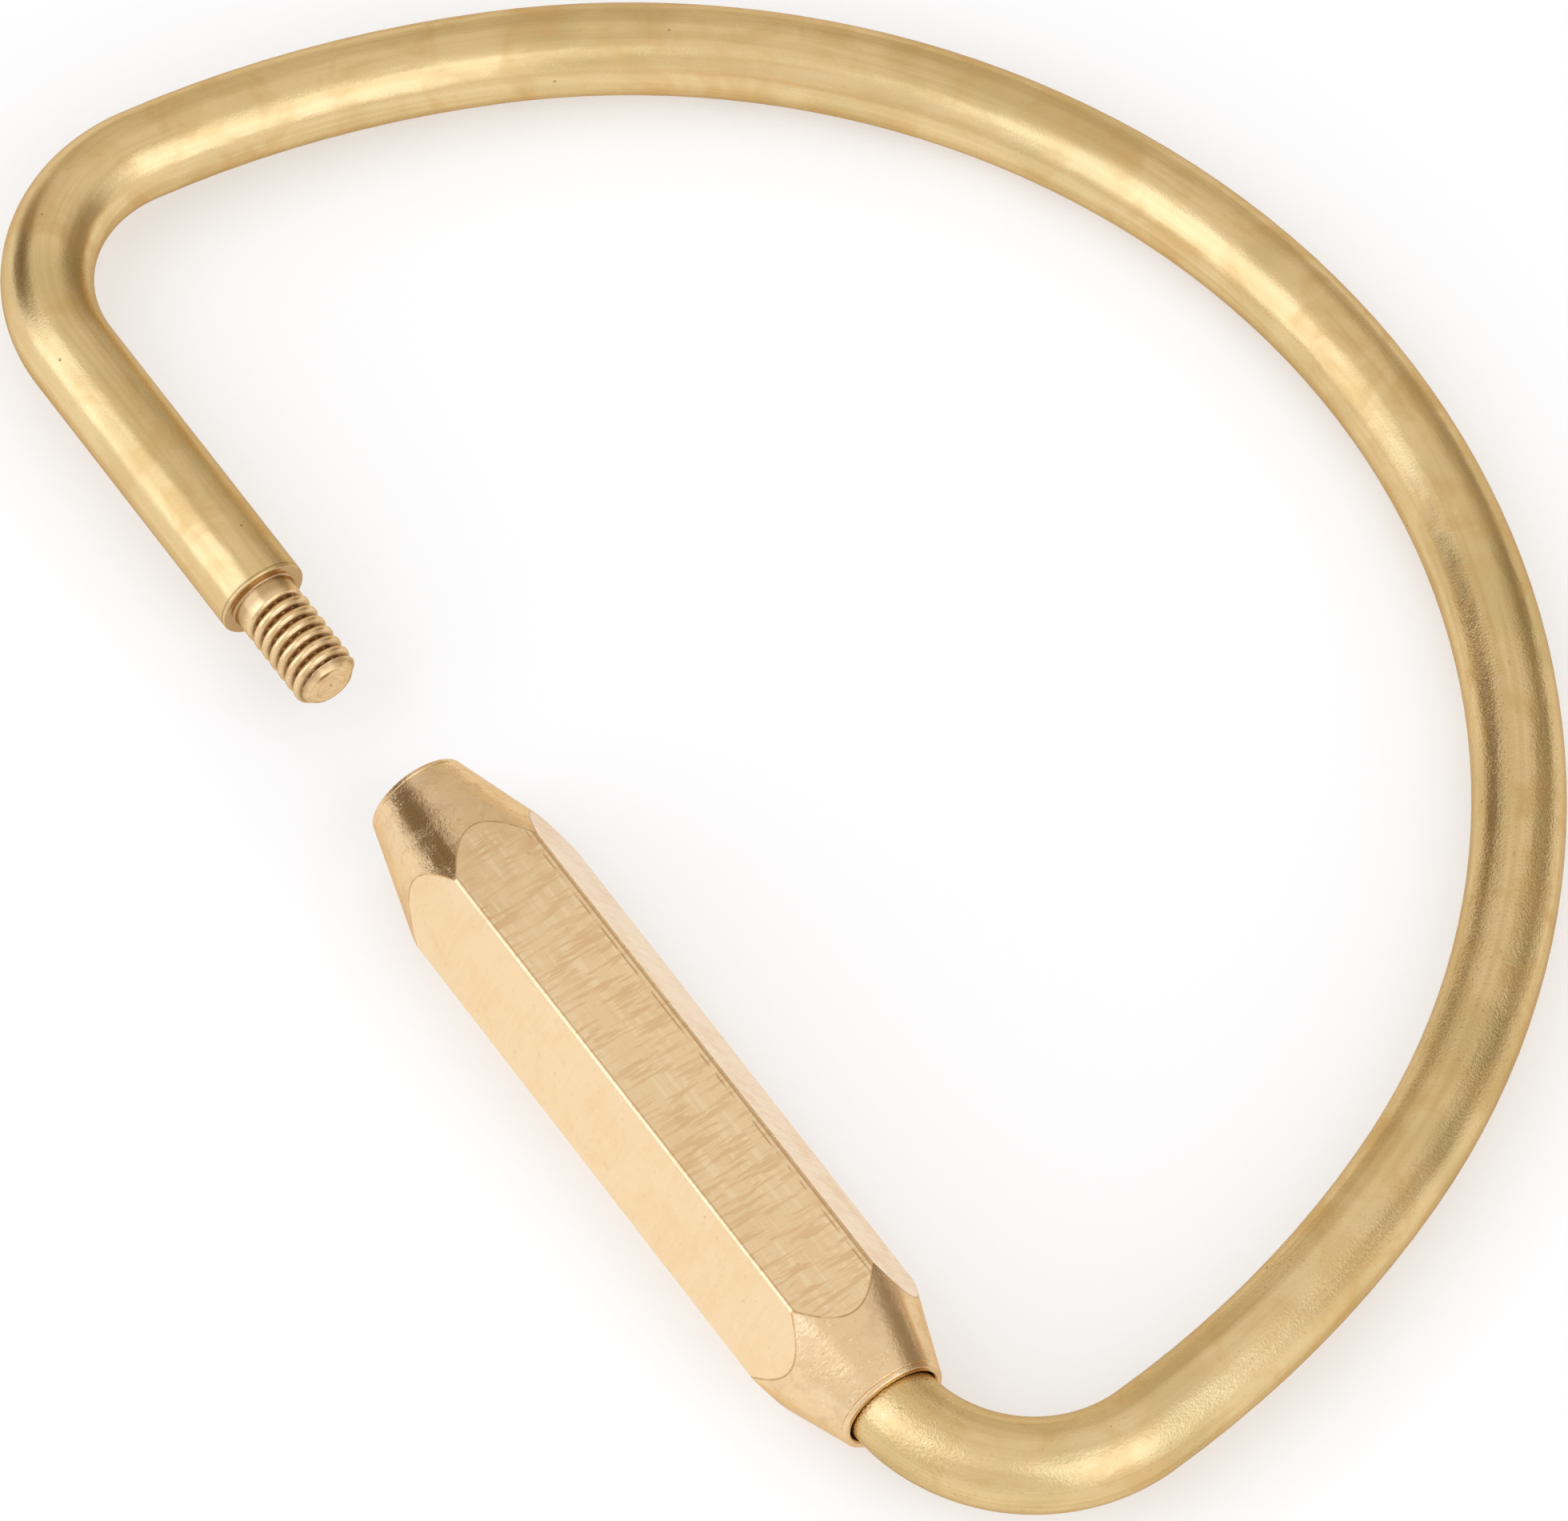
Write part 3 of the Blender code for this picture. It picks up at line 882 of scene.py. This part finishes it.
def trim_line(wear):
    """The fine edge where the turned taper runs out on a flat, with grime in its burr."""
    nodes, finish = brass("trim_line", 0.3, 0.5)
    place = sleeve_place(nodes)
    worn = nodes.group(wear, {"Place": place, "Patch Size": 0.6 * MM, "Grain Size": 0.1 * MM})
    colour = nodes.mix(worn["Tarnish"], TRIM_BROWN, TRIM_BRASS)
    return finish(colour, worn["Tarnish"], worn["Grain"], 0.006 * MM)


# ---------------------------------------------------------------- studio

CAMERA_TARGET = Vector((2.32, -7.45, 2.0)) * MM
CAMERA_AZIMUTH = -33.94
CAMERA_ELEVATION = 58.82
CAMERA_DISTANCE = 662.9 * MM
CAMERA_LENS = 363.14
CAMERA_ROLL = math.radians(-0.29)
LIGHT_DISTANCE = 0.7
COOL_WHITE = (0.84, 1.0, 1.3)
FLOOR_GLOW = 0.36  # keeps the floor's shadows faint


def studio_world():
    """Pale all round, a little darker behind the ring, with two dark gaps between its walls."""
    world = bpy.data.worlds.new("studio")
    bpy.context.scene.world = world
    world.use_nodes = True
    nodes = Nodes(world.node_tree)
    background = world.node_tree.nodes["Background"]
    towards = nodes.put("ShaderNodeTexCoord").outputs["Generated"]
    height = nodes.put("ShaderNodeSeparateXYZ", {0: towards}).outputs["Z"]
    low = nodes.ramp(height, 0.85, 0.5)

    def zone(azimuth, elevation, near, far):
        facing = nodes.vector("DOT_PRODUCT", towards, direction(azimuth, elevation))
        return nodes.ramp(facing, math.cos(math.radians(far)), math.cos(math.radians(near)))

    behind = nodes.math("MULTIPLY", zone(azimuth=135, elevation=0, near=30, far=85), low)
    colour = nodes.mix(behind, STUDIO_WALL, WALL_BEHIND)
    far_gap = nodes.math("MULTIPLY", zone(azimuth=84, elevation=10, near=14, far=42), low)
    colour = nodes.mix(far_gap, colour, FAR_GAP)
    near_gap = zone(azimuth=-157, elevation=18, near=9, far=27)
    colour = nodes.mix(near_gap, colour, NEAR_GAP)
    nodes.join(colour, background.inputs["Color"])
    background.inputs["Strength"].default_value = 1.0


def direction(azimuth, elevation):
    """A unit vector, from degrees round from +X and up from level."""
    flat = math.cos(math.radians(elevation))
    return Vector(
        (
            flat * math.cos(math.radians(azimuth)),
            flat * math.sin(math.radians(azimuth)),
            math.sin(math.radians(elevation)),
        )
    )


def soft_box(name, azimuth, elevation, width, height, power):
    """A large cool white panel light that faces the ring."""
    light = bpy.data.lights.new(name, "AREA")
    light.shape = "RECTANGLE"
    light.size = width
    light.size_y = height
    light.energy = power
    light.color = COOL_WHITE
    lamp = bpy.data.objects.new(name, light)
    out = direction(azimuth, elevation)
    lamp.location = out * LIGHT_DISTANCE
    lamp.rotation_euler = out.to_track_quat("Z", "Y").to_euler()
    bpy.context.scene.collection.objects.link(lamp)


def studio_floor():
    """A plain white table."""
    bm = bmesh.new()
    bmesh.ops.create_grid(bm, x_segments=1, y_segments=1, size=2.0)
    floor = mesh_object("floor", bm)
    floor.location.z = cad_box[0][2] - FLOOR_GAP
    material = bpy.data.materials.new("white_table")
    material.use_nodes = True
    shader = material.node_tree.nodes["Principled BSDF"]
    shader.inputs["Base Color"].default_value = FLOOR_GREY
    shader.inputs["Roughness"].default_value = 0.9
    shader.inputs["Specular IOR Level"].default_value = 0.1
    shader.inputs["Emission Color"].default_value = (1, 1, 1, 1)
    shader.inputs["Emission Strength"].default_value = FLOOR_GLOW
    floor.data.materials.append(material)


def studio_camera():
    """A long lens from above the sleeve's open end."""
    out = direction(CAMERA_AZIMUTH, CAMERA_ELEVATION)
    camera = bpy.data.objects.new("camera", bpy.data.cameras.new("camera"))
    camera.data.lens = CAMERA_LENS
    camera.data.sensor_width = 36.0
    camera.data.clip_start = 0.05
    camera.data.clip_end = 20.0
    camera.location = CAMERA_TARGET + out * CAMERA_DISTANCE
    tilt = math.radians(90 - CAMERA_ELEVATION)
    turn = math.radians(CAMERA_AZIMUTH + 90)
    level = Euler((tilt, 0, turn)).to_matrix()
    roll = Matrix.Rotation(CAMERA_ROLL, 3, "Z")
    camera.rotation_euler = (level @ roll).to_euler()
    bpy.context.scene.collection.objects.link(camera)
    bpy.context.scene.camera = camera


# ---------------------------------------------------------------- making

bpy.context.scene.view_settings.view_transform = "Standard"

lines_group = tool_lines_effect()
wear_group = wear_effect()

ring = ring_piece()
ring.data.materials.append(drawn_brass(lines_group, wear_group))
ring.data.materials.append(turned_stud(lines_group, wear_group))
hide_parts("ring_rod")
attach(ring, "ring")

sleeve = sleeve_piece()
sleeve.data.materials.append(milled_flat(lines_group, wear_group))
sleeve.data.materials.append(turned_taper(lines_group, wear_group))
sleeve.data.materials.append(bored_hole(lines_group, wear_group))
sleeve.data.materials.append(trim_line(wear_group))
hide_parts("hex_sleeve")
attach(sleeve, "sleeve")

studio_world()
soft_box("left_box", azimuth=-108, elevation=35, width=0.66, height=0.80, power=1.32)
soft_box("right_box", azimuth=6, elevation=35, width=0.58, height=0.76, power=1.08)
studio_floor()
studio_camera()
